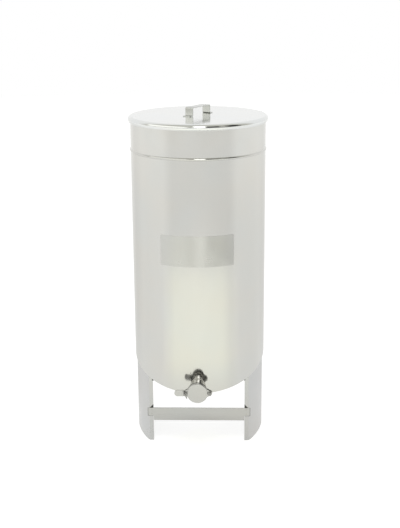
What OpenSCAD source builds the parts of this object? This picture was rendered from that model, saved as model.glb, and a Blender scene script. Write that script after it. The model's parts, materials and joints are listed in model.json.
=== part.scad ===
// Honey settling tank of sheet steel with a sloping bottom, on a stand of two wide legs.
// It has a lift-off lid and a swing gate at its outlet.
// Millimetres, +Z up. The origin is on the floor, in the middle of the footprint. The gate faces -Y.

/* [Tank] */
// Outer diameter of the tank
tank_d = 400; // [340:5:480]
// Height of the tank's rim above the floor
rim_z = 987; // [800:1:1200]
// Thickness of the wall sheet
sheet_t = 1; // [0.6:0.1:1.4]
// Diameter of the rounded safe edge at the rim
edge_d = 3.2; // [2.6:0.2:4]
// Distance of the swaged bead below the rim
bead_drop = 97; // [60:1:140]
// Height of the swaged bead
bead_h = 8; // [7:0.5:12]
// How far the swaged bead stands out from the wall
bead_proud = 2.5; // [1.6:0.1:3]

/* [Bottom] */
// Height of the wall's lower edge above the floor, on the tank's axis
stand_h = 264; // [230:1:320]
// Slope of the bottom towards the gate, in degrees
bottom_tilt = 20.7; // [10:0.1:24]
// Thickness of the bottom plate and its turned-down flange
bottom_t = 1.5; // [1:0.1:2.5]
// Height of the turned-down flange of the bottom plate
bottom_flange_h = 4; // [3:0.5:8]
// Height of the outlet's lowest line above the bottom plate
drain_lip = 0.6; // [0.2:0.1:2]
// Gap left for the weld between two sheets
weld_gap = 0.1; // [0.05:0.05:0.3]

/* [Lid] */
// How far the lid's rim reaches past the tank's wall
lid_overhang = 7; // [6:0.5:9]
// Outer radius of the rolled rim of the lid
curl_r = 10; // [9:0.5:12]
// Thickness of the lid sheet
lid_t = 1; // [0.8:0.1:1.5]
// Play between the lip of the rolled rim and the tank's wall
lip_play = 2.5; // [2.2:0.1:3.5]
// Diameter of the safe edge along the lip
lip_d = 1.6; // [1.5:0.1:2]
// Clearance between the resting lid and the rim
lid_gap = 0.3; // [0.2:0.1:0.5]

/* [Lid handle] */
// Length of the handle strap over its two feet
handle_span = 118; // [90:1:160]
// Width of the handle strap
handle_w = 27; // [20:1:40]
// Height of the handle
handle_h = 26; // [20:1:45]
// Length of each foot
handle_foot = 15; // [14:1:24]
// Thickness of the handle strap
handle_t = 2; // [1.5:0.5:3]
// Outer radius of the bends in the strap
handle_bend = 4; // [3.5:0.5:7]
// Radius of the rounded corners of the feet
foot_corner = 5; // [2:0.5:9]
// Turn of the handle on the lid, in degrees
handle_turn = 56; // [0:1:90]

/* [Legs] */
// Gap between the legs and the flange of the bottom plate
leg_inset = 2; // [0.5:0.5:6]
// Thickness of the leg sheet
leg_t = 1.5; // [1:0.1:2.5]
// Distance of the front flanges from the tank's axis
leg_front = 123; // [110:1:135]
// Distance of the rear flanges from the tank's axis
leg_rear = 92; // [70:1:105]
// Outer radius of the folds
leg_bend = 4; // [3:0.5:8]
// Width of the flanges, measured from the fold
leg_flange = 10.5; // [8:0.5:16]
// Gap between the tops of the flanges and the wall's lower edge
flange_drop = 9; // [6:0.5:20]
// Rise of the arch in each leg's lower edge
arch_h = 12; // [4:1:24]
// Length of the feet before and behind the arch
arch_foot = 10; // [6:1:30]

/* [Crossbar] */
// Height of the crossbar's lower crease above the floor
bar_z = 82; // [60:1:100]
// Height of the crossbar's web
bar_web = 26; // [18:1:36]
// Length of the crossbar's lower lip
bar_lip = 19; // [8:1:24]
// Slope of the lower lip from the upright, in degrees
bar_lip_tilt = 20; // [10:1:40]
// Width of the crossbar's top flange
bar_top = 4; // [4:1:20]
// Thickness of the crossbar sheet
bar_t = 1.5; // [1:0.1:2.5]
// How far each end of the web reaches past the leg's fold
bar_lap = 6; // [2:0.5:9]
// Gap between the crossbar's lips and the leg flanges
bar_gap = 0.5; // [0.3:0.1:1.5]

/* [Outlet] */
// Bore of the outlet
outlet_d = 38; // [32:1:50]
// Thickness of the outlet pipe
outlet_t = 2; // [1.5:0.5:3]
// Length of the outlet pipe in front of the wall
outlet_l = 49; // [35:0.5:70]
// Thickness of the fixed seat plate
seat_t = 5; // [4.5:0.5:8]
// Width of the land round the bore
seat_land = 10.5; // [8:0.5:14]
// Cross-section of the seal ring
seal_d = 3.2; // [2.4:0.2:3.6]
// How far the seal stands proud of its seat
seal_proud = 0.2; // [0.1:0.05:0.3]
// Play of the seal in its groove
seal_play = 0.3; // [0.1:0.1:0.5]

/* [Gate] */
// Thickness of the swinging shutter plate
shutter_t = 4; // [3:0.5:6]
// Height of the raised disc on the shutter
disc_h = 3; // [1:0.5:5]
// Chamfer of the raised disc
disc_chamfer = 0.8; // [0.2:0.1:1]
// Margin of the eared plates round the disc
eye_margin = 1; // [0.5:0.5:4]
// Radius of the circle round the outlet's axis that the ears' straight sides run to
ear_root_r = 24; // [12:1:26]
// Radius of the ears
ear_r = 7; // [6.5:0.5:9]
// Clearance between the seat and the shutter
gate_gap = 0.5; // [0.4:0.1:1]
// Reach of the paddle handle from the outlet's axis
paddle_reach = 67; // [60:1:100]
// Height of the paddle handle
paddle_w = 19; // [14:1:22]
// Clearance of the slot round the clamp bolt
slot_gap = 0.8; // [0.6:0.1:1.5]

/* [Fasteners] */
// Diameter of the two gate bolts
bolt_d = 6; // [5:0.5:7]
// Width across flats of the nut and the bolt heads
nut_af = 10; // [9:0.5:11]
// Height of the pivot nut
nut_h = 5; // [3:0.5:7]
// Height of the bolt heads
head_h = 4; // [3:0.5:6]
// Thickness of the flat washers
washer_t = 1.2; // [0.8:0.1:2]
// Thickness of the spring washer
spring_t = 1; // [0.6:0.1:1.4]
// Rise of the spring washer's cone
spring_rise = 0.6; // [0.3:0.1:1]
// Length of bolt standing out past the pivot nut
bolt_end = 1.5; // [0.5:0.5:4]
// Height of the wing nut's hub
hub_h = 8; // [7:0.5:12]
// Span of the wing nut over its wings
wing_span = 26; // [22:1:34]
// Height of the wings
wing_h = 9; // [7:0.5:14]
// Thickness of the wings
wing_t = 2.4; // [1.6:0.2:4]
// Height of the wings above the hub's foot
wing_lift = 2.7; // [2:0.1:4]
// Radius of the wing tips
wing_tip = 3; // [2:0.5:3.5]
// Flare of the wings' outer sides, in degrees
wing_flare = 30; // [10:5:45]
// Turn of the wings from upright, in degrees
wing_turn = 25; // [0:5:90]
// Travel of the wing nut along its bolt
wing_travel = 3; // [2:0.5:5]
// Radial clearance of a turning fit
run_gap = 0.05; // [0.02:0.01:0.1]
// Clearance between flat faces that slide on each other
face_gap = 0.3; // [0.2:0.1:0.5]
// Radial clearance of a washer on its bolt
washer_gap = 0.3; // [0.2:0.1:0.5]
// Clearance between the raised disc and what turns beside it
ear_gap = 0.7; // [0.6:0.1:2]

/* [Hidden] */
$fn = 96;
eps = 0.01;

// Tank wall, its safe edge and its swaged bead
tank_r = tank_d / 2;
wall_in_r = tank_r - sheet_t;
edge_r = edge_d / 2;
edge_c = [tank_r - sheet_t / 2, rim_z - edge_r];
bead_r = (pow(bead_h / 2, 2) + pow(bead_proud, 2)) / (2 * bead_proud);
bead_c = [tank_r + bead_proud - bead_r, rim_z - bead_drop];

// Sloping bottom, whose upright thickness counts towards the outlet's height
bottom_rise_t = bottom_t / cos(bottom_tilt);
bottom_r = wall_in_r - weld_gap;
front_edge_z = stand_h - tank_r * tan(bottom_tilt);

// Lid, resting with its rolled rim on the safe edge
curl_in_r = curl_r - lid_t;
curl_c_r = tank_r + lid_overhang - curl_r;
curl_seat = curl_in_r - edge_r - lid_gap;
curl_c = [curl_c_r, edge_c[1] - sqrt(pow(curl_seat, 2) - pow(edge_c[0] - curl_c_r, 2))];
curl_end = -acos((tank_r + lip_play - curl_c_r) / curl_in_r);
lid_r = tank_r + lid_overhang;
lid_top_z = curl_c[1] + curl_r;

// Legs, whose curved part runs a hair (in degrees) into each fold
leg_r = bottom_r - bottom_t - leg_inset;
leg_blank_h = stand_h + tank_r * tan(bottom_tilt) + bottom_flange_h;
fold_lap = 0.05;
arch_half = (leg_front + leg_rear) / 2 - arch_foot;
arch_r = (pow(arch_half, 2) + pow(arch_h, 2)) / (2 * arch_h);
bar_top_z = bar_z + bar_web;

// Outlet and gate, along an axis that runs from the tank's axis to the front
outlet_r = outlet_d / 2;
pipe_r = outlet_r + outlet_t;
outlet_z = front_edge_z + bottom_flange_h + bottom_rise_t + drain_lip + outlet_r;
seat_back = tank_r + outlet_l;
seat_front = seat_back + seat_t;
shutter_back = seat_front + gate_gap;
shutter_front = shutter_back + shutter_t;
disc_r = outlet_r + seat_land;
disc_front = shutter_front + disc_h;
eye_r = disc_r + eye_margin;
nut_r = nut_af / sqrt(3);
ear_x = disc_r + nut_r + ear_gap;
// The ears' straight sides run this far inside the ear's round, so that they cross it
ear_side_in = 0.2;
seal_r = seal_d / 2;
seal_c_r = outlet_r + seat_land / 2;
seal_depth = seal_d - seal_proud;

// Fasteners
bolt_r = bolt_d / 2;
washer_r = nut_r;
washer_in_r = bolt_r + washer_gap;
pivot_washer_z = shutter_front + face_gap;
pivot_spring_z = pivot_washer_z + washer_t;
pivot_nut_z = pivot_spring_z + spring_t + spring_rise;
pivot_end = pivot_nut_z + nut_h + bolt_end;
clamp_washer_z = shutter_front + face_gap;
hub_z = clamp_washer_z + washer_t + face_gap;
hub_r = nut_af / 2;
wing_z = max(disc_front + face_gap, hub_z + wing_lift);
clamp_end = hub_z + hub_h + wing_travel;
wing_end = wing_z + wing_h;
gate_reach = max(clamp_end, wing_end, pivot_end);

// The tank's axis stands behind the origin, which is in the middle of the footprint
axis_y = (gate_reach - lid_r) / 2;

module place() {
    translate([0, axis_y, 0]) children();
}

// Children are drawn in the gate's frame: x right, y up, z along the outlet towards the front
module outlet_frame() {
    place() translate([0, 0, outlet_z]) rotate([90, 0, 0]) children();
}

// Part of a flat ring between two angles under half a turn apart
module ring_sector(r, t, from, to) {
    reach = 2 * r;
    middle = (from + to) / 2;
    intersection() {
        difference() {
            circle(r);
            circle(r - t);
        }
        polygon([for (a = [undef, from, middle, to]) is_undef(a) ? [0, 0] : reach * [cos(a), sin(a)]]);
    }
}

// Everything above (or, upside down, below) the sloping plane of the wall's lower edge, raised by lift
module above_slope(lift, thickness) {
    size = 2 * tank_d;
    translate([0, 0, stand_h + lift]) rotate([bottom_tilt, 0, 0])
        translate([-size / 2, -size / 2, 0]) cube([size, size, thickness]);
}

// Round plate with an ear on each side, whose straight sides meet the plate at a corner
module eye_plate(t) {
    side_r = ear_r - ear_side_in;
    tangent = acos((ear_root_r - side_r) / ear_x);
    dir = [cos(tangent), sin(tangent)];
    low = [dir[0], -dir[1]];
    ear = [ear_x, 0];
    union() {
        cylinder(r = eye_r, h = t);
        for (side = [0, 1]) mirror([side, 0, 0]) {
            translate(ear) cylinder(r = ear_r, h = t);
            linear_extrude(t)
                polygon([ear_root_r * dir, ear + side_r * dir, ear + side_r * low, ear_root_r * low]);
        }
    }
}

module tank_wall() {
    low_z = front_edge_z - bottom_t;
    color("gainsboro") difference() {
        place() rotate_extrude() difference() {
            union() {
                translate([wall_in_r, low_z]) square([sheet_t, edge_c[1] - low_z]);
                translate(edge_c) circle(edge_r);
                intersection() {
                    translate(bead_c) circle(bead_r);
                    translate([wall_in_r, bead_c[1] - bead_r]) square([bead_r * 2, bead_r * 2]);
                }
            }
            translate(bead_c) circle(bead_r - sheet_t);
        }
        place() above_slope(-tank_d, tank_d * cos(bottom_tilt));
        outlet_frame() cylinder(r = pipe_r + weld_gap, h = tank_d);
    }
}

// The plate slopes to the outlet, and its flange is turned down along the wall
module tank_bottom() {
    flange_in_r = bottom_r - bottom_t;
    color("silver") place() difference() {
        intersection() {
            cylinder(r = bottom_r, h = rim_z);
            above_slope(0, bottom_flange_h * cos(bottom_tilt) + bottom_t);
        }
        intersection() {
            cylinder(r = flange_in_r, h = rim_z);
            above_slope(-bottom_t, (bottom_flange_h + bottom_t) * cos(bottom_tilt));
        }
    }
}

// The pipe is cut to the inside of the wall
module outlet_pipe() {
    color("silver") difference() {
        outlet_frame() cylinder(r = pipe_r, h = seat_back);
        outlet_frame() cylinder(r = outlet_r, h = 2 * seat_back);
        place() cylinder(r = wall_in_r, h = rim_z);
    }
}

module gate_seat() {
    color("darkgray") outlet_frame() difference() {
        translate([0, 0, seat_back]) eye_plate(seat_t);
        translate([0, 0, seat_back - eps]) cylinder(r = outlet_r, h = seat_t + 2 * eps);
        translate([0, 0, seat_front - seal_depth]) rotate_extrude()
            translate([seal_c_r - seal_r - seal_play, 0]) square([seal_d + 2 * seal_play, seal_d]);
        for (side = [-1, 1]) translate([side * ear_x, 0, seat_back - eps])
            cylinder(r = bolt_r + run_gap, h = seat_t + 2 * eps);
    }
}

module seat_seal() {
    color("dimgray") outlet_frame() translate([0, 0, seat_front - seal_depth + seal_r])
        rotate_extrude() translate([seal_c_r, 0]) circle(seal_r - run_gap);
}

// Bolt with its head behind the seat and its end at the front
module gate_bolt(end) {
    translate([0, 0, seat_back - head_h]) cylinder(r = nut_r, h = head_h, $fn = 6);
    translate([0, 0, seat_back - eps]) cylinder(r = bolt_r, h = end - seat_back + eps);
}

module flat_washer(z) {
    translate([0, 0, z]) difference() {
        cylinder(r = washer_r, h = washer_t);
        translate([0, 0, -eps]) cylinder(r = washer_in_r, h = washer_t + 2 * eps);
    }
}

module pivot_bolt() {
    color("gray") outlet_frame() translate([ear_x, 0, 0]) gate_bolt(pivot_end);
}

module pivot_washer() {
    color("silver") outlet_frame() translate([ear_x, 0, 0]) flat_washer(pivot_washer_z);
}

module pivot_spring_washer() {
    color("slategray") outlet_frame() translate([ear_x, 0, pivot_spring_z]) rotate_extrude()
        polygon([
            [washer_in_r, spring_rise],
            [washer_r, 0],
            [washer_r, spring_t],
            [washer_in_r, spring_rise + spring_t]
        ]);
}

module pivot_nut() {
    color("gray") outlet_frame() translate([ear_x, 0, pivot_nut_z]) difference() {
        cylinder(r = nut_r, h = nut_h, $fn = 6);
        translate([0, 0, -eps]) cylinder(r = bolt_r + run_gap, h = nut_h + 2 * eps);
    }
}

module clamp_bolt() {
    color("gray") outlet_frame() translate([-ear_x, 0, 0]) gate_bolt(clamp_end);
}

// Middle of a fold whose flange face lies at y: it touches the leg's outside and that face
function fold_c(y) = [sqrt(pow(leg_r - leg_bend, 2) - pow(abs(y) - leg_bend, 2)), y - sign(y) * leg_bend];
function fold_angle(y) = atan2(fold_c(y)[1], fold_c(y)[0]);
flange_in_x = fold_c(-leg_front)[0] - leg_flange;

// One folded edge of a leg: the fold and its flat flange
module leg_fold(y) {
    c = fold_c(y);
    translate(c) linear_extrude(leg_blank_h) ring_sector(leg_bend, leg_t, fold_angle(y), sign(y) * 90);
    translate([c[0] - leg_flange, min(y, y - sign(y) * leg_t), 0]) cube([leg_flange, leg_t, leg_blank_h]);
}

// A wide leg: part of a cylinder, folded inwards along its front and rear edges, on which it stands
module leg() {
    difference() {
        union() {
            linear_extrude(leg_blank_h)
                ring_sector(leg_r, leg_t, fold_angle(-leg_front) - fold_lap, fold_angle(leg_rear) + fold_lap);
            leg_fold(-leg_front);
            leg_fold(leg_rear);
        }
        above_slope(bottom_flange_h, leg_blank_h);
        for (y = [-leg_front, leg_rear]) intersection() {
            above_slope(-flange_drop, leg_blank_h);
            translate([0, min(y, 0), 0]) cube([fold_c(y)[0], abs(y), leg_blank_h]);
        }
        translate([0, (leg_rear - leg_front) / 2, arch_h - arch_r]) rotate([0, 90, 0])
            cylinder(r = arch_r, h = tank_r);
    }
}

module right_leg() {
    color("lightgray") place() leg();
}

module left_leg() {
    color("lightgray") place() mirror([1, 0, 0]) leg();
}

// The web laps over the front flanges, and the narrower lips are bent back between them
module front_crossbar() {
    web_half = fold_c(-leg_front)[0] + bar_lap;
    lip_half = flange_in_x - bar_gap;
    face_y = -leg_front - bar_t;
    lip_back = bar_lip * sin(bar_lip_tilt);
    lip_down = bar_lip * cos(bar_lip_tilt);
    color("silver") place() union() {
        translate([-web_half, face_y, bar_z]) cube([2 * web_half, bar_t, bar_web]);
        translate([-lip_half, face_y, bar_top_z - bar_t]) cube([2 * lip_half, bar_top, bar_t]);
        translate([-lip_half, 0, 0]) rotate([90, 0, 90]) linear_extrude(2 * lip_half) polygon([
            [face_y, bar_z + bar_t],
            [face_y, bar_z],
            [face_y + lip_back, bar_z - lip_down],
            [face_y + lip_back + bar_t, bar_z - lip_down],
            [face_y + bar_t, bar_z],
            [face_y + bar_t, bar_z + bar_t]
        ]);
    }
}

module lid_shell() {
    end_r = (curl_r + curl_in_r) / 2;
    color("whitesmoke") place() rotate_extrude() {
        translate([0, lid_top_z - lid_t]) square([curl_c_r, lid_t]);
        translate(curl_c) {
            ring_sector(curl_r, lid_t, curl_end, 90);
            translate(end_r * [cos(curl_end), sin(curl_end)]) circle(lip_d / 2);
        }
    }
}

// Half of the bent strap, seen from the side
module handle_profile() {
    post = handle_span / 2 - handle_foot;
    bend_x = post - handle_t + handle_bend;
    translate([0, handle_h - handle_t]) square([post - handle_bend, handle_t]);
    translate([post - handle_bend, handle_h - handle_bend]) ring_sector(handle_bend, handle_t, 0, 90);
    translate([post - handle_t, handle_bend]) square([handle_t, handle_h - 2 * handle_bend]);
    translate([bend_x, handle_bend]) ring_sector(handle_bend, handle_t, 180, 270);
    translate([bend_x, 0]) square([handle_span / 2 - bend_x, handle_t]);
}

module rounded_plate(length, width, corner) {
    square([length - 2 * corner, width], center = true);
    square([length, width - 2 * corner], center = true);
    for (x = [-1, 1], y = [-1, 1]) translate([x * (length / 2 - corner), y * (width / 2 - corner)])
        circle(corner);
}

module lid_handle() {
    color("darkgray") place() translate([0, 0, lid_top_z]) rotate([0, 0, handle_turn]) intersection() {
        translate([0, handle_w / 2, 0]) rotate([90, 0, 0]) linear_extrude(handle_w) {
            handle_profile();
            mirror([1, 0]) handle_profile();
        }
        linear_extrude(handle_h) rounded_plate(handle_span, handle_w, foot_corner);
    }
}

// The shutter turns on the pivot bolt, and its slot leaves the clamp bolt as the paddle goes up
module gate_shutter() {
    slot_r = bolt_r + slot_gap;
    paddle_r = paddle_w / 2;
    paddle_l = paddle_reach - paddle_r;
    color("lightgray") outlet_frame() difference() {
        union() {
            translate([0, 0, shutter_back]) {
                eye_plate(shutter_t);
                translate([-paddle_l, -paddle_r, 0]) cube([paddle_l, paddle_w, shutter_t]);
                translate([-paddle_l, 0, 0]) cylinder(r = paddle_r, h = shutter_t);
            }
            translate([0, 0, shutter_front - eps]) cylinder(r = disc_r, h = disc_h - disc_chamfer + eps);
            translate([0, 0, disc_front - disc_chamfer])
                cylinder(r1 = disc_r, r2 = disc_r - disc_chamfer, h = disc_chamfer);
        }
        translate([ear_x, 0, shutter_back - eps]) cylinder(r = bolt_r + run_gap, h = shutter_t + 2 * eps);
        translate([-ear_x, 0, shutter_back - eps]) linear_extrude(shutter_t + 2 * eps) {
            circle(slot_r);
            translate([-slot_r, -paddle_w]) square([2 * slot_r, paddle_w]);
        }
    }
}

module clamp_washer() {
    color("silver") outlet_frame() translate([-ear_x, 0, 0]) flat_washer(clamp_washer_z);
}

// One wing, in the plane through the bolt: x away from the bolt, y along it
module wing_outline() {
    tip = [wing_span / 2 - wing_tip, wing_h - wing_tip];
    side_r = wing_tip - ear_side_in;
    tip_side = tip + side_r * [cos(wing_flare), -sin(wing_flare)];
    root_h = hub_z + hub_h - wing_z;
    translate(tip) circle(wing_tip);
    polygon([[0, 0], [hub_r, 0], tip_side, tip + [0, side_r], [0, root_h]]);
}

module wing_nut() {
    color("dimgray") outlet_frame() translate([-ear_x, 0, 0]) difference() {
        union() {
            translate([0, 0, hub_z]) cylinder(r = hub_r, h = hub_h);
            for (side = [0, 180]) translate([0, 0, wing_z]) rotate([90, 0, 90 + wing_turn + side])
                translate([0, 0, -wing_t / 2]) linear_extrude(wing_t) wing_outline();
        }
        translate([0, 0, hub_z - eps]) cylinder(r = bolt_r + run_gap, h = hub_h + wing_h);
    }
}

tank_wall();
tank_bottom();
outlet_pipe();
gate_seat();
seat_seal();
pivot_bolt();
pivot_washer();
pivot_spring_washer();
pivot_nut();
clamp_bolt();
left_leg();
right_leg();
front_crossbar();
lid_shell();
lid_handle();
gate_shutter();
clamp_washer();
wing_nut();
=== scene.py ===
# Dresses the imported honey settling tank: steel finishes, rounded edges, welds, threads and a bare label,
# on a pale floor in soft studio light. Metres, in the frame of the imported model.
import json
import math

import bmesh
import bpy
from mathutils import Matrix, Vector

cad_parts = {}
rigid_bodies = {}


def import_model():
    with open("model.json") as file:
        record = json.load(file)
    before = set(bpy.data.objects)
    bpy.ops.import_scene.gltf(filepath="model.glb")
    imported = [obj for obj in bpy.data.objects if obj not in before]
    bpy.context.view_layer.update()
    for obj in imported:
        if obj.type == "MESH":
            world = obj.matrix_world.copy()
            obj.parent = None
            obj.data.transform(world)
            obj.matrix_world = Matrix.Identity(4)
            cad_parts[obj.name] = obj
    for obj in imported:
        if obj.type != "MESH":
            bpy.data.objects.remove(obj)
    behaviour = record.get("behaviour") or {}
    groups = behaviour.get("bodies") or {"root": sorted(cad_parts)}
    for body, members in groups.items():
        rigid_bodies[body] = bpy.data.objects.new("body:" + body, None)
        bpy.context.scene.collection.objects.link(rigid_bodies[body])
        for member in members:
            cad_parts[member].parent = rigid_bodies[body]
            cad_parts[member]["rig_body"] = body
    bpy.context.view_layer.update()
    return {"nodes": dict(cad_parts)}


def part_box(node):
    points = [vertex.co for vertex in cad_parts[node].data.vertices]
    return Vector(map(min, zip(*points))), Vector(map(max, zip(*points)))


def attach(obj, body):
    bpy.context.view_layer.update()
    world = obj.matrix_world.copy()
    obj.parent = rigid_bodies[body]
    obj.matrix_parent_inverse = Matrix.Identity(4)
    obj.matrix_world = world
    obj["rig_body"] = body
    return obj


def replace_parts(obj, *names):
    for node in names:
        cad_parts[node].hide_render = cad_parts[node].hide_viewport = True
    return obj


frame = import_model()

MM = 0.001
HANDS = (("left", -1), ("right", 1))

# Places read from the frame
LID_LOW, LID_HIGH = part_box("lid_shell")
PIPE_LOW, PIPE_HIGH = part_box("outlet_pipe")
SHUTTER_LOW, SHUTTER_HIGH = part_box("gate_shutter")
NUT_LOW, NUT_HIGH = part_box("pivot_nut")
BAR_LOW, BAR_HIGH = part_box("front_crossbar")
WALL_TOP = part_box("tank_wall")[1].z
SEAT_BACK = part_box("gate_seat")[1].y
AXIS_Y = (LID_LOW.y + LID_HIGH.y) / 2
OUTLET_Z = (PIPE_LOW.z + PIPE_HIGH.z) / 2
PIPE_R = (PIPE_HIGH.x - PIPE_LOW.x) / 2
EAR_X = (NUT_LOW.x + NUT_HIGH.x) / 2

# Sizes of the solids that the new pieces follow
TANK_R = 200 * MM
STAND_H = 264 * MM
BOTTOM_TILT = math.radians(20.7)
SWAGE_Z = 890 * MM
SWAGE_HALF = 5 * MM
RIM_H = 4 * MM
HANDLE_TURN = math.radians(56)
HANDLE_T = 2 * MM
HANDLE_FOOT_REACH = 52.5 * MM
BAR_T = 1.5 * MM
BAR_WEB = 26 * MM
BAR_LAP = 16.5 * MM
FLANGE_X = BAR_HIGH.x - BAR_LAP
FLANGE_Y = BAR_LOW.y + BAR_T
BOLT_R = 3 * MM
HEX_AF = 10 * MM
NUT_PLAY = 0.05 * MM

# Bare label on the front of the wall
LABEL_Z = (578 * MM, 669 * MM)
LABEL_HALF_ANGLE = math.radians(32)
LABEL_CORNER = 4 * MM
LABEL_T = 0.25 * MM
LABEL_GAP = 0.02 * MM
LABEL_COLUMNS = 72

# Weld beads, which sink a little into the sheets and, in corners, lean to the front
BEAD_SIDES = 12
RIPPLE_PITCH = 1.6 * MM
RIPPLE_STEPS = 4
RIPPLE = 0.1
SEAM_W = 4.5 * MM
SEAM_PROUD = 0.5 * MM
SEAM_SINK = 0.1 * MM
SEAM_END_GAP = 1 * MM
PIPE_WELD_R = 1.5 * MM
PIPE_WELD_OUT = 0.3 * MM
PIPE_WELD_LEAN = 0.7
PIPE_WELD_STEPS = 240
LAP_BEAD = 1.1 * MM
LAP_SINK = 0.2 * MM
LAP_LEAN = 0.8
LAP_STEPS = 64

# Triangular fillets over the crossbar; the profile goes inwards, as shares of the outline and of the bulge
FILLET_W = 11 * MM
FILLET_H = 12 * MM
FILLET_BULGE = 1.2 * MM
FILLET_STEPS = 8
FILLET_PROFILE = ((1.0, 0.0), (0.94, 0.5), (0.8, 0.8), (0.5, 1.0), (0.15, 1.05))

# Tacks on the legs' flanges; the profile goes upwards, as shares of the tack's radius in height and in width
TACK_Z = 201 * MM
TACK_R = {"left": 3.6 * MM, "right": 2.4 * MM}
TACK_SIDES = 16
TACK_PROFILE = ((-1.2, 0.25), (-0.9, 0.75), (0, 1), (0.9, 0.75), (1.2, 0.25))

# Spot welds; the profile goes outwards, as shares of the radius and of the height
SPOT_R = 2.6 * MM
SPOT_H = 0.18 * MM
SPOT_SIDES = 24
SPOT_PROFILE = ((0.35, 0.1), (0.6, 0.3), (0.8, 1.0), (0.92, 0.7), (1.0, -0.2))
SPOT_GAP = 7 * MM
BAR_SPOT_IN = 11 * MM
BAR_SPOT_Z = 95 * MM

# Threads and hexagons of the gate's fasteners
THREAD_PITCH = 1 * MM
THREAD_DEPTH = 0.5 * MM
THREAD_STEPS = 8
TIP_LENGTH = 1.2 * THREAD_PITCH
TIP_DEPTH = 1.3 * THREAD_DEPTH
BOLT_SIDES = 40
HEX_SIDES = 72
HEX_FLAT_R = 0.94 * HEX_AF / 2
HEX_SLOPE = math.tan(math.radians(30))
HEAD_HOLE_R = 0.2 * BOLT_R

# Small rounds along the edges of sheets and plates
SAME_POINT = 1e-6
LEVEL_ANGLE = math.radians(0.3)
CREASE_ANGLE = math.radians(25)
ROUND_ANGLE = math.radians(35)
ROUND_SEGMENTS = 2

# Camera, from the photograph's outlines; the image is 400 by 528 pixels
FOCAL_PX = 1031.3
IMAGE_H = 528
SENSOR = 36
CAMERA_AZIMUTH = math.radians(1.7)
CAMERA_YAW = math.radians(-0.055)
CAMERA_PITCH = math.radians(16.046)
CAMERA_ROLL = math.radians(-0.411)
CAMERA_DISTANCE = 3.0374
CAMERA_HEIGHT = 1.4045
CAMERA_CLIP = 100


# Node helpers

def add_node(tree, kind, inputs=None, **settings):
    """A node with values on its sockets and settings of its own."""
    node = tree.nodes.new(kind)
    for key, value in settings.items():
        setattr(node, key, value)
    for key, value in (inputs or {}).items():
        node.inputs[key].default_value = value
    return node


def noise(tree, vector, scale, detail=2.0, stretch=None):
    """Noise in the object's own metres, stretched along an axis where stretch is given."""
    if stretch:
        mapping = add_node(tree, "ShaderNodeMapping", {"Scale": stretch})
        tree.links.new(vector, mapping.inputs["Vector"])
        vector = mapping.outputs["Vector"]
    node = add_node(tree, "ShaderNodeTexNoise", {"Scale": scale, "Detail": detail})
    tree.links.new(vector, node.inputs["Vector"])
    return node.outputs["Fac"]


def spread(tree, value, low, high, from_low=0.3, from_high=0.7):
    """The value's range laid over another one; the usual range is the middle of a noise."""
    node = add_node(tree, "ShaderNodeMapRange", {
        "From Min": from_low, "From Max": from_high, "To Min": low, "To Max": high})
    tree.links.new(value, node.inputs["Value"])
    return node.outputs["Result"]


def colour_ramp(tree, value, stops):
    """Ramp through pairs of place and colour."""
    node = add_node(tree, "ShaderNodeValToRGB")
    elements = node.color_ramp.elements
    while len(elements) < len(stops):
        elements.new(1.0)
    for element, (place, colour) in zip(elements, stops):
        element.position = place
        element.color = (*colour, 1)
    tree.links.new(value, node.inputs["Fac"])
    return node.outputs["Color"]


def two_tints(tree, value, first, second):
    """Two colours over the middle of a noise."""
    return colour_ramp(tree, value, ((0.3, first), (0.7, second)))


def level_ramp(tree, value, stops):
    """Grey ramp through pairs of place and level."""
    return colour_ramp(tree, value, [(place, (level, level, level)) for place, level in stops])


def combine(tree, operation, first, second):
    """Two linked values joined by an operation."""
    node = add_node(tree, "ShaderNodeMath", operation=operation)
    tree.links.new(first, node.inputs[0])
    tree.links.new(second, node.inputs[1])
    return node.outputs[0]


def pool(tree, place, radius, middle_y=0.0, up=1):
    """Share that falls from one at the middle to zero at the radius; up at zero leaves the height out."""
    mapping = add_node(tree, "ShaderNodeMapping", {
        "Location": (0, -middle_y / radius, 0), "Scale": (1 / radius, 1 / radius, up)})
    tree.links.new(place, mapping.inputs["Vector"])
    gradient = add_node(tree, "ShaderNodeTexGradient", gradient_type="SPHERICAL")
    tree.links.new(mapping.outputs["Vector"], gradient.inputs["Vector"])
    return gradient.outputs["Fac"]


def bump(tree, height, distance, normal=None):
    """Relief of the given depth, over an earlier relief where one is given."""
    node = add_node(tree, "ShaderNodeBump", {"Strength": 1.0, "Distance": distance})
    tree.links.new(height, node.inputs["Height"])
    if normal:
        tree.links.new(normal, node.inputs["Normal"])
    return node.outputs["Normal"]


def tinted(colour, warmth):
    """The colour moved towards warm (above 0) or cool (below 0)."""
    return (colour[0] * (1 + warmth), colour[1], colour[2] * (1 - warmth))


def paler(colour, factor):
    """The colour times a factor."""
    return tuple(factor * c for c in colour)


# Materials

# Scales of the patterns, where higher is finer, and depths of the relief in metres
TINT_SCALE = 7.0
GLOSS_SCALE = 18.0
WAVE_SCALE = 5.0
GRAIN_DEPTH = 0.8e-6
RING_SCALE = 180.0
RING_DEPTH = 4e-6
RUBBER_TINT_SCALE = 220.0
RUBBER_GLOSS_SCALE = 400.0
RUBBER_GRAIN_SCALE = 2500.0
RUBBER_GRAIN_DEPTH = 1e-5
VERTICAL_GRAIN = (1800, 1800, 25)
ACROSS_GRAIN = (25, 1800, 1800)
FINE_GRAIN = (900, 900, 900)

# Depths under the wall's outside between which its finish changes
POLISH_END = 0.4 * MM
SATIN_START = 0.8 * MM


def new_material(name):
    """A material with its node tree, its shader and the place on the object."""
    material = bpy.data.materials.new(name)
    material.use_nodes = True
    tree = material.node_tree
    place = add_node(tree, "ShaderNodeTexCoord").outputs["Object"]
    return material, tree, tree.nodes["Principled BSDF"], place


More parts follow.
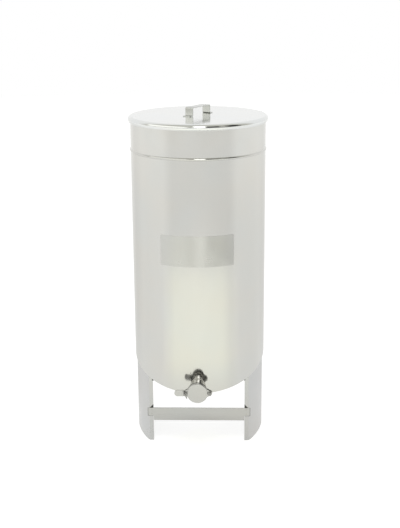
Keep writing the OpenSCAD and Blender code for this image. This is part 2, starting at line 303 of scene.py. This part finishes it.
def steel(name, colour, roughness, grain, waviness=0.0, warmth=0.012, gloss_drift=0.03):
    """Stainless steel: tint and gloss drift a little, fine grain, and a slight waviness of the sheet."""
    material, tree, shader, place = new_material(name)
    shader.inputs["Metallic"].default_value = 1.0
    tint = two_tints(tree, noise(tree, place, TINT_SCALE), tinted(colour, -warmth), tinted(colour, warmth))
    tree.links.new(tint, shader.inputs["Base Color"])
    patches = noise(tree, place, GLOSS_SCALE, 6.0)
    gloss = spread(tree, patches, roughness - gloss_drift, roughness + gloss_drift)
    tree.links.new(gloss, shader.inputs["Roughness"])
    normal = bump(tree, noise(tree, place, 1.0, 3.0, grain), GRAIN_DEPTH)
    if waviness:
        normal = bump(tree, noise(tree, place, WAVE_SCALE, 1.0), waviness, normal)
    tree.links.new(normal, shader.inputs["Normal"])
    return material


def turned_steel(name, colour, roughness, centre):
    """Steel faced on a lathe: fine rings round the centre."""
    material = steel(name, colour, roughness, FINE_GRAIN)
    tree = material.node_tree
    shader = tree.nodes["Principled BSDF"]
    place = add_node(tree, "ShaderNodeTexCoord").outputs["Object"]
    mapping = add_node(tree, "ShaderNodeMapping", {"Location": -centre})
    tree.links.new(place, mapping.inputs["Vector"])
    rings = add_node(tree, "ShaderNodeTexWave", {"Scale": RING_SCALE, "Distortion": 0.6},
                     wave_type="RINGS", rings_direction="Y")
    tree.links.new(mapping.outputs["Vector"], rings.inputs["Vector"])
    under = shader.inputs["Normal"].links[0].from_socket
    tree.links.new(bump(tree, rings.outputs["Fac"], RING_DEPTH, under), shader.inputs["Normal"])
    return material


def sheet_with_satin_inside(name, colour, roughness, inside):
    """Polished sheet whose faces nearer the tank's axis than the wall's middle are left satin."""
    material = steel(name, colour, roughness, VERTICAL_GRAIN, waviness=3e-4)
    tree = material.node_tree
    shader = tree.nodes["Principled BSDF"]
    place = add_node(tree, "ShaderNodeTexCoord").outputs["Object"]
    depth = pool(tree, place, TANK_R, AXIS_Y, 0)
    satin = spread(tree, depth, 0.0, inside, POLISH_END / TANK_R, SATIN_START / TANK_R)
    polish = shader.inputs["Roughness"].links[0].from_socket
    tree.links.new(combine(tree, "MAXIMUM", polish, satin), shader.inputs["Roughness"])
    return material


def brushed_foil(name, colour):
    """Foil brushed round the tank, so that its highlight stands upright."""
    material = steel(name, colour, 0.3, ACROSS_GRAIN)
    tree = material.node_tree
    shader = tree.nodes["Principled BSDF"]
    shader.inputs["Anisotropic"].default_value = 0.85
    shader.inputs["Anisotropic Rotation"].default_value = 0.25
    tangent = add_node(tree, "ShaderNodeTangent", direction_type="RADIAL", axis="Z")
    tree.links.new(tangent.outputs["Tangent"], shader.inputs["Tangent"])
    return material


def rubber(name, colour):
    """Dull rubber with fine grain."""
    material, tree, shader, place = new_material(name)
    tint = two_tints(tree, noise(tree, place, RUBBER_TINT_SCALE, 4.0), colour, paler(colour, 1.35))
    tree.links.new(tint, shader.inputs["Base Color"])
    gloss = spread(tree, noise(tree, place, RUBBER_GLOSS_SCALE), 0.45, 0.6)
    tree.links.new(gloss, shader.inputs["Roughness"])
    normal = bump(tree, noise(tree, place, RUBBER_GRAIN_SCALE), RUBBER_GRAIN_DEPTH)
    tree.links.new(normal, shader.inputs["Normal"])
    return material


DISC_CENTRE = Vector((0, SHUTTER_LOW.y, OUTLET_Z))
POLISHED = sheet_with_satin_inside("polished_sheet", (0.605, 0.603, 0.575), 0.11, inside=0.5)
LID_SHEET = steel("lid_sheet", (0.76, 0.77, 0.755), 0.12, ACROSS_GRAIN, waviness=2e-4)
SATIN = steel("satin_sheet", (0.565, 0.565, 0.555), 0.3, VERTICAL_GRAIN)
BAR_SATIN = steel("satin_bar", (0.54, 0.54, 0.52), 0.32, ACROSS_GRAIN)
STRAP = steel("satin_strap", (0.58, 0.59, 0.57), 0.24, FINE_GRAIN)
GATE = steel("gate_casting", (0.68, 0.68, 0.66), 0.2, FINE_GRAIN)
# Seat far darker than steel: partly a dull cast finish and partly painted shade, standing in for the shade in
# the gap behind the seat and round the shutter
SEAT = steel("seat_steel", (0.17, 0.17, 0.165), 0.38, FINE_GRAIN)
SHUTTER = turned_steel("turned_shutter", (0.515, 0.515, 0.505), 0.24, DISC_CENTRE)
FASTENER = steel("fastener_steel", (0.34, 0.34, 0.33), 0.28, FINE_GRAIN)
WELD = steel("weld_bead", (0.5, 0.5, 0.47), 0.3, FINE_GRAIN, warmth=0.05)
# Near-black weld colour is painted shade, standing in for the shadowed gaps at the crossbar's ends and under
# the wall
PAINTED_SHADE_WELD = steel("weld_painted_shade", (0.07, 0.07, 0.065), 0.45, FINE_GRAIN, warmth=0.1)
FOIL = brushed_foil("label_foil", (0.58, 0.58, 0.555))
SEAL = rubber("seal_rubber", (0.05, 0.05, 0.05))


# Mesh helpers

def turns(count):
    """Evenly spaced angles of one full turn."""
    return [math.tau * k / count for k in range(count)]


def straight(start, end, steps):
    """Evenly spaced points from one end to the other."""
    return [start.lerp(end, i / steps) for i in range(steps + 1)]


def show(name, mesh, body, material):
    """A new piece of the object, riding on a body."""
    mesh.materials.append(material)
    piece = bpy.data.objects.new(name, mesh)
    bpy.context.scene.collection.objects.link(piece)
    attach(piece, body)
    return piece


def mesh_of(name, points, faces, sharp=math.radians(40)):
    """A smooth mesh that stays sharp where its faces meet at a greater angle."""
    mesh = bpy.data.meshes.new(name)
    mesh.from_pydata(points, [], faces)
    mesh.validate()
    mesh.shade_smooth()
    mesh.set_sharp_from_angle(angle=sharp)
    return mesh


def rings_mesh(name, rings, loop=False):
    """Skin over rings of equal point count, closed at both ends; a loop joins the last ring to the first."""
    count = len(rings[0])
    points = [p for ring in rings for p in ring]
    faces = []
    for i in range(len(rings) if loop else len(rings) - 1):
        a = i * count
        b = (i + 1) % len(rings) * count
        faces += [(a + j, a + (j + 1) % count, b + (j + 1) % count, b + j) for j in range(count)]
    if not loop:
        last = (len(rings) - 1) * count
        faces.append(tuple(reversed(range(count))))
        faces.append(tuple(last + j for j in range(count)))
    return mesh_of(name, points, faces)


def soften(node, width, material):
    """A copy of a CAD node with small rounds along its sharp edges, shown in its place."""
    source = frame["nodes"][node]
    shape = bmesh.new()
    shape.from_mesh(source.data)
    bmesh.ops.remove_doubles(shape, verts=shape.verts, dist=SAME_POINT)
    bmesh.ops.dissolve_limit(shape, angle_limit=LEVEL_ANGLE, verts=shape.verts, edges=shape.edges)
    points = [v.co.copy() for v in shape.verts]
    shape.verts.index_update()
    faces = [[v.index for v in f.verts] for f in shape.faces]
    shape.free()
    mesh = mesh_of(f"{node}_rounded", points, faces, CREASE_ANGLE)
    body = source["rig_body"]
    piece = show(f"{node}_rounded", mesh, body, material)
    rounds = piece.modifiers.new("edge_rounds", "BEVEL")
    rounds.width = width
    rounds.segments = ROUND_SEGMENTS
    rounds.limit_method = "ANGLE"
    rounds.angle_limit = ROUND_ANGLE
    rounds.harden_normals = True
    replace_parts(piece, node)


def weld_bead(name, path, sides, half_width, height, loop=False, material=WELD):
    """A rippled bead along a path on the tank; sides gives the direction across the bead at each point."""
    rings = []
    length = 0.0
    for i, point in enumerate(path):
        ahead = path[(i + 1) % len(path)] if loop or i + 1 < len(path) else point
        behind = path[i - 1] if loop or i else point
        along = (ahead - behind).normalized()
        across = sides[i].normalized()
        out = along.cross(across).normalized()
        swell = 1 + RIPPLE * math.cos(math.tau * length / RIPPLE_PITCH)
        rings.append([point + swell * (half_width * math.cos(t) * across + height * math.sin(t) * out)
                      for t in turns(BEAD_SIDES)])
        length += (ahead - point).length
    show(name, rings_mesh(name, rings, loop), "tank", material)


# Pieces

def front_label():
    """Thin foil with rounded corners, bent round the wall."""
    half = LABEL_HALF_ANGLE * TANK_R
    low, high = LABEL_Z
    middle = (low + high) / 2
    tall = (high - low) / 2
    back = TANK_R + LABEL_GAP
    front = TANK_R + LABEL_T
    rings = []
    for i in range(LABEL_COLUMNS + 1):
        s = half * math.cos(math.pi * (1 - i / LABEL_COLUMNS))
        into_corner = max(0.0, abs(s) - (half - LABEL_CORNER))
        drop = LABEL_CORNER - math.sqrt(max(0.0, LABEL_CORNER ** 2 - into_corner ** 2))
        reach = max(tall - drop, tall - LABEL_CORNER)
        a = s / TANK_R
        rings.append([Vector((r * math.sin(a), AXIS_Y - r * math.cos(a), middle + z))
                      for r, z in ((back, -reach), (front, -reach), (front, reach), (back, reach))])
    show("front_label", rings_mesh("front_label", rings), "tank", FOIL)


def wall_seam():
    """The long weld down the back of the wall, from the rim to the lower edge, parted by the swaged bead."""
    y = AXIS_Y + TANK_R - SEAM_SINK
    lower_edge = STAND_H + TANK_R * math.tan(BOTTOM_TILT)
    for part, low, high in (("upper", SWAGE_Z + SWAGE_HALF, WALL_TOP - RIM_H),
                            ("lower", lower_edge + SEAM_END_GAP, SWAGE_Z - SWAGE_HALF)):
        steps = int((high - low) / (RIPPLE_PITCH / RIPPLE_STEPS))
        path = straight(Vector((0, y, low)), Vector((0, y, high)), steps)
        weld_bead(f"wall_seam_{part}", path, [Vector((1, 0, 0))] * len(path), SEAM_W / 2, SEAM_PROUD)


def outlet_welds():
    """Beads round the pipe: a saddle on the wall and a ring behind the seat."""
    reach = PIPE_R + PIPE_WELD_OUT
    outward = []
    saddle = []
    ring = []
    for t in turns(PIPE_WELD_STEPS):
        x = reach * math.cos(t)
        z = OUTLET_Z + reach * math.sin(t)
        outward.append(Vector((math.cos(t), -PIPE_WELD_LEAN, math.sin(t))))
        saddle.append(Vector((x, AXIS_Y - math.sqrt(TANK_R ** 2 - x ** 2), z)))
        ring.append(Vector((x, SEAT_BACK + PIPE_WELD_OUT, z)))
    weld_bead("outlet_weld", saddle, outward, PIPE_WELD_R, PIPE_WELD_R, loop=True)
    weld_bead("seat_weld", ring, outward, PIPE_WELD_R, PIPE_WELD_R, loop=True)


def spot_weld(name, centre, normal, body):
    """A shallow round mark with a raised rim."""
    turn = Vector((0, 0, 1)).rotation_difference(normal).to_matrix()
    rings = []
    for out, up in SPOT_PROFILE:
        r = out * SPOT_R
        rings.append([centre + turn @ Vector((r * math.cos(t), r * math.sin(t), up * SPOT_H))
                      for t in turns(SPOT_SIDES)])
    show(name, rings_mesh(name, rings), body, WELD)


def spot_welds():
    """Two marks on each handle foot and on each end of the crossbar."""
    along = Vector((math.cos(HANDLE_TURN), math.sin(HANDLE_TURN), 0))
    across = Vector((-along.y, along.x, 0))
    handle_middle = Vector((0, AXIS_Y, LID_HIGH.z + HANDLE_T))
    places = [(end, side) for end in (-1, 1) for side in (-1, 1)]
    for number, (end, side) in enumerate(places, 1):
        centre = handle_middle + end * HANDLE_FOOT_REACH * along + side * SPOT_GAP * across
        spot_weld(f"handle_spot_{number}", centre, Vector((0, 0, 1)), "lid")
    for number, (end, side) in enumerate(places, 1):
        centre = Vector((end * (BAR_HIGH.x - BAR_SPOT_IN), BAR_LOW.y, BAR_SPOT_Z + side * SPOT_GAP))
        spot_weld(f"bar_spot_{number}", centre, Vector((0, -1, 0)), "tank")


def corner_welds():
    """Dark puffed fillets over the crossbar's ends, in the corners that it makes with the legs' flanges;
    their dark colour is painted shade.
    """
    for side, sign in HANDS:
        ends = [Vector((sign * FLANGE_X, FLANGE_Y, BAR_HIGH.z)),
                Vector((sign * FLANGE_X, FLANGE_Y, BAR_HIGH.z + FILLET_H)),
                Vector((sign * (FLANGE_X + FILLET_W), FLANGE_Y, BAR_HIGH.z))]
        middle = sum(ends, Vector()) / 3
        edge = [ends[k].lerp(ends[(k + 1) % 3], i / FILLET_STEPS)
                for k in range(3) for i in range(FILLET_STEPS)]
        rings = [[middle.lerp(p, share) + Vector((0, -puff * FILLET_BULGE, 0)) for p in edge]
                 for share, puff in FILLET_PROFILE]
        name = f"{side}_corner_fillet_painted_shade"
        show(name, rings_mesh(name, rings), "tank", PAINTED_SHADE_WELD)


def lap_welds():
    """Dark beads along the end and the lower edge of each lapped end of the crossbar; their dark colour is
    painted shade along these edges.
    """
    y = FLANGE_Y - LAP_SINK
    low = BAR_HIGH.z - BAR_WEB
    for side, sign in HANDS:
        top_corner = Vector((sign * BAR_HIGH.x, y, BAR_HIGH.z))
        low_corner = Vector((sign * BAR_HIGH.x, y, low))
        inner_end = Vector((sign * FLANGE_X, y, low))
        for edge, start, end, across in (("end", top_corner, low_corner, Vector((sign, -LAP_LEAN, 0))),
                                         ("foot", low_corner, inner_end, Vector((0, -LAP_LEAN, -1)))):
            path = straight(start, end, LAP_STEPS)
            weld_bead(f"{side}_lap_{edge}_weld", path, [across] * len(path), LAP_BEAD, LAP_BEAD,
                      material=PAINTED_SHADE_WELD)


def flange_welds():
    """Dark tacks on the inner edges of the legs' front flanges, close under the wall; their dark colour is
    painted shade in the corner under the wall.
    """
    for side, sign in HANDS:
        r = TACK_R[side]
        middle = Vector((sign * FLANGE_X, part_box(f"{side}_leg")[0].y + BAR_T / 2, TACK_Z))
        rings = [[middle + r * Vector((out * math.cos(t), out * math.sin(t), up)) for t in turns(TACK_SIDES)]
                 for up, out in TACK_PROFILE]
        name = f"{side}_flange_tack_painted_shade"
        show(name, rings_mesh(name, rings), "tank", PAINTED_SHADE_WELD)


def hex_radius(turn):
    """Half the width of the hexagon in a direction, with a corner at zero."""
    sixth = math.tau / 6
    return HEX_AF / 2 / math.cos((turn % sixth) - sixth / 2)


def hex_rings(x, back, front, hole_r):
    """Rings of a chamfered hexagon that faces the front, from its hole's back edge to its front edge."""

    def ring(radius, y):
        return [Vector((x + radius(t) * math.cos(t), y(radius(t)), OUTLET_Z + radius(t) * math.sin(t)))
                for t in turns(HEX_SIDES)]

    def round_ring(radius, y):
        return ring(lambda t: radius, lambda r: y)

    def chamfer(face, sign):
        return lambda r: face + sign * max(0.0, r - HEX_FLAT_R) * HEX_SLOPE

    return [round_ring(hole_r, back), round_ring(HEX_FLAT_R, back),
            ring(hex_radius, chamfer(back, -1)), ring(hex_radius, chamfer(front, 1)),
            round_ring(HEX_FLAT_R, front), round_ring(hole_r, front)]


def pivot_nut():
    """The nut with chamfered corners."""
    rings = hex_rings(EAR_X, NUT_HIGH.y, NUT_LOW.y, BOLT_R + NUT_PLAY)
    mesh = rings_mesh("pivot_nut_chamfered", rings, loop=True)
    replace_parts(show("pivot_nut_chamfered", mesh, "tank", FASTENER), "pivot_nut")


def threaded_bolt(node):
    """The bolt with a chamfered head and a cut thread on its front stretch."""
    low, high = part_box(node)
    x = (low.x + high.x) / 2
    head_front = SEAT_BACK
    thread_from = SHUTTER_HIGH.y

    def ring(radius, y):
        return [Vector((x + radius(t) * math.cos(t), y, OUTLET_Z + radius(t) * math.sin(t)))
                for t in turns(BOLT_SIDES)]

    def thread_radius(y):
        tip = max(0.0, TIP_LENGTH - (y - low.y)) / TIP_LENGTH

        def radius(t):
            phase = ((thread_from - y) / THREAD_PITCH + t / math.tau) % 1
            groove = THREAD_DEPTH * (1 - abs(2 * phase - 1))
            return BOLT_R - max(groove, tip * TIP_DEPTH)

        return radius

    rings = [ring(lambda t: BOLT_R, head_front), ring(lambda t: BOLT_R, thread_from)]
    steps = int((thread_from - low.y) / (THREAD_PITCH / THREAD_STEPS))
    for i in range(1, steps + 1):
        y = thread_from - (thread_from - low.y) * i / steps
        rings.append(ring(thread_radius(y), y))
    shank = rings_mesh(f"{node}_threaded", rings)
    piece = show(f"{node}_threaded", shank, "tank", FASTENER)
    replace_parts(piece, node)
    head = rings_mesh(f"{node}_head", hex_rings(x, high.y, head_front, HEAD_HOLE_R), loop=True)
    show(f"{node}_head", head, "tank", FASTENER)


FINISHES = {
    "tank_wall": POLISHED,
    "tank_bottom": POLISHED,
    "outlet_pipe": GATE,
    "seat_seal": SEAL,
    "pivot_washer": FASTENER,
    "pivot_spring_washer": FASTENER,
    "lid_shell": LID_SHEET,
    "clamp_washer": FASTENER,
}
for node, finish in FINISHES.items():
    frame["nodes"][node].material_slots[0].material = finish
for node, width, finish in (
    ("left_leg", 0.3 * MM, SATIN),
    ("right_leg", 0.3 * MM, SATIN),
    ("front_crossbar", 0.4 * MM, BAR_SATIN),
    ("lid_handle", 0.4 * MM, STRAP),
    ("gate_seat", 0.3 * MM, SEAT),
    ("gate_shutter", 0.35 * MM, SHUTTER),
    ("wing_nut", 0.35 * MM, FASTENER),
):
    soften(node, width, finish)
front_label()
wall_seam()
outlet_welds()
spot_welds()
corner_welds()
lap_welds()
flange_welds()
pivot_nut()
threaded_bolt("pivot_bolt")
threaded_bolt("clamp_bolt")


# Floor, light and camera

# Glow of the floor in mirrors, over the turn from the left side (0) through the front, the right and the back
SIDES = ((0.085, 0.87), (0.13, 0.74), (0.4, 0.74), (0.44, 0.85),
         (0.59, 0.84), (0.66, 0.7), (0.88, 0.72), (0.95, 0.86))
# Its glow close in front: a fan over the same turn, times a ramp over the share of the way in from a radius
FAN = ((0.078, 0), (0.139, 1), (0.361, 1), (0.45, 0))
APRON_R = 3.0
APRON = ((0.15, 0), (0.37, 0.25), (0.6, 0.28), (0.7, 0.29), (0.8, 0.13), (1, 0.04))
WARM_FULL = 0.3
WARM = (0.985, 1, 0.88)
WHITE = (1, 1, 1)
# Its dimming towards the object, from a radius
DUSK_R = 6.0
DUSK = -0.25
# The floor itself, and its glow in the camera's sight
FLOOR_R = 9.0
FLOOR_SIDES = 96
FLOOR_GLOW = 0.77
# Room in front of the object, between two values of the direction's y
ROOM = (0.6, 0.595, 0.545)
ROOM_Y = (-0.3, 0.55)
# Softboxes aim at the tank's middle, and dark cards stand round it
AIM = (0, 0, 0.9)
CARD_DISTANCE = 4.2
CARD_SHADE = (0.03, 0.03, 0.03)


def stage_piece(name, mesh, material, in_sight):
    """A piece of the studio, which isn't part of the object."""
    mesh.materials.append(material)
    piece = bpy.data.objects.new(name, mesh)
    piece.visible_camera = in_sight
    bpy.context.scene.collection.objects.link(piece)


def floor():
    """Pale floor that looks white and keeps the object's shadow.
    Mirrors see it brighter to the sides and far out, and warm and bright close in front of the object."""
    ring = [(FLOOR_R * math.cos(t), FLOOR_R * math.sin(t), 0) for t in turns(FLOOR_SIDES)]
    mesh = mesh_of("floor", ring, [tuple(range(FLOOR_SIDES))])
    material, tree, shader, place = new_material("floor")
    tint = two_tints(tree, noise(tree, place, 3.0), (0.4, 0.4, 0.4), (0.42, 0.42, 0.42))
    tree.links.new(tint, shader.inputs["Base Color"])
    shader.inputs["Roughness"].default_value = 0.9
    shader.inputs["Specular IOR Level"].default_value = 0.1
    round_about = add_node(tree, "ShaderNodeTexGradient", gradient_type="RADIAL")
    tree.links.new(place, round_about.inputs["Vector"])
    far = level_ramp(tree, round_about.outputs["Fac"], SIDES)
    fan = level_ramp(tree, round_about.outputs["Fac"], FAN)
    apron = combine(tree, "MULTIPLY", fan, level_ramp(tree, pool(tree, place, APRON_R), APRON))
    dusk = spread(tree, pool(tree, place, DUSK_R), 0.0, DUSK, 0.0, 1.0)
    glow = combine(tree, "ADD", combine(tree, "ADD", far, dusk), apron)
    warm = two_tints(tree, spread(tree, apron, 0.3, 0.7, 0.0, WARM_FULL), WHITE, WARM)
    tree.links.new(warm, shader.inputs["Emission Color"])
    path = add_node(tree, "ShaderNodeLightPath")
    seen = spread(tree, path.outputs["Is Camera Ray"], 0.0, FLOOR_GLOW, 0.0, 1.0)
    mirrored = combine(tree, "MULTIPLY", path.outputs["Is Glossy Ray"], glow)
    tree.links.new(combine(tree, "MAXIMUM", seen, mirrored), shader.inputs["Emission Strength"])
    stage_piece("floor", mesh, material, in_sight=True)


def surroundings():
    """White studio behind and beside the object, and a dimmer room in front, out of the camera's sight."""
    world = bpy.data.worlds.new("studio")
    bpy.context.scene.world = world
    world.use_nodes = True
    tree = world.node_tree
    direction = add_node(tree, "ShaderNodeTexCoord").outputs["Generated"]
    parts = add_node(tree, "ShaderNodeSeparateXYZ")
    tree.links.new(direction, parts.inputs["Vector"])
    path = add_node(tree, "ShaderNodeLightPath")
    behind = spread(tree, parts.outputs["Y"], 0.0, 1.0, *ROOM_Y)
    share = combine(tree, "MAXIMUM", behind, path.outputs["Is Camera Ray"])
    tree.links.new(two_tints(tree, share, ROOM, WHITE), tree.nodes["Background"].inputs["Color"])


def dark_card(name, azimuth, width, low, high):
    """A dark card out of the camera's sight, which shows only as a streak in the polished rims."""
    a = math.radians(azimuth)
    middle = Vector((math.sin(a), -math.cos(a), 0)) * CARD_DISTANCE
    side = Vector((math.cos(a), math.sin(a), 0)) * width / 2
    up = Vector((0, 0, 1))
    corners = [middle - side + low * up, middle + side + low * up, middle + side + high * up,
               middle - side + high * up]
    mesh = mesh_of(name, corners, [(0, 1, 2, 3)])
    material, tree, shader, place = new_material(name)
    tint = two_tints(tree, noise(tree, place, 2.0), CARD_SHADE, paler(CARD_SHADE, 1.3))
    tree.links.new(tint, shader.inputs["Base Color"])
    shader.inputs["Roughness"].default_value = 0.9
    stage_piece(name, mesh, material, in_sight=False)


def softbox(name, place, target, width, height, power, lights=True, mirrored=True):
    """A lamp that can be left out of the light on matt surfaces or out of mirrors."""
    light = bpy.data.lights.new(name, "AREA")
    light.shape = "RECTANGLE"
    light.size = width
    light.size_y = height
    light.energy = power
    source = bpy.data.objects.new(name, light)
    source.location = place
    source.rotation_euler = (Vector(target) - Vector(place)).to_track_quat("-Z", "Y").to_euler()
    source.visible_camera = False
    source.visible_diffuse = lights
    source.visible_glossy = mirrored
    bpy.context.scene.collection.objects.link(source)


def camera():
    """The camera of the photograph."""
    data = bpy.data.cameras.new("camera")
    data.sensor_width = SENSOR
    data.lens = FOCAL_PX / IMAGE_H * SENSOR
    data.clip_end = CAMERA_CLIP
    eye = bpy.data.objects.new("camera", data)
    turn = Matrix.Rotation(CAMERA_AZIMUTH + CAMERA_YAW, 4, "Z")
    tip = Matrix.Rotation(math.pi / 2 - CAMERA_PITCH, 4, "X")
    roll = Matrix.Rotation(CAMERA_ROLL, 4, "Z")
    place = Vector((CAMERA_DISTANCE * math.sin(CAMERA_AZIMUTH),
                    AXIS_Y - CAMERA_DISTANCE * math.cos(CAMERA_AZIMUTH), CAMERA_HEIGHT))
    eye.matrix_world = Matrix.Translation(place) @ turn @ tip @ roll
    bpy.context.scene.collection.objects.link(eye)
    bpy.context.scene.camera = eye


floor()
surroundings()
softbox("top_softbox", (0, -1.1, 2.8), (0, -1.1, 0), width=1.2, height=1.2, power=26, mirrored=False)
softbox("front_softbox", (0.2, -2.7, 2.3), AIM, width=0.9, height=2.7, power=13)
softbox("left_softbox", (-3.3, -2.6, 2.5), AIM, width=6.0, height=3.0, power=40, lights=False)
dark_card("near_dark_card", azimuth=26, width=1.8, low=1.2, high=4.4)
dark_card("low_dark_card", azimuth=44.5, width=0.9, low=1.0, high=1.9)
dark_card("far_dark_card", azimuth=62, width=1.6, low=0.9, high=5.0)
camera()
bpy.context.scene.view_settings.view_transform = "Standard"
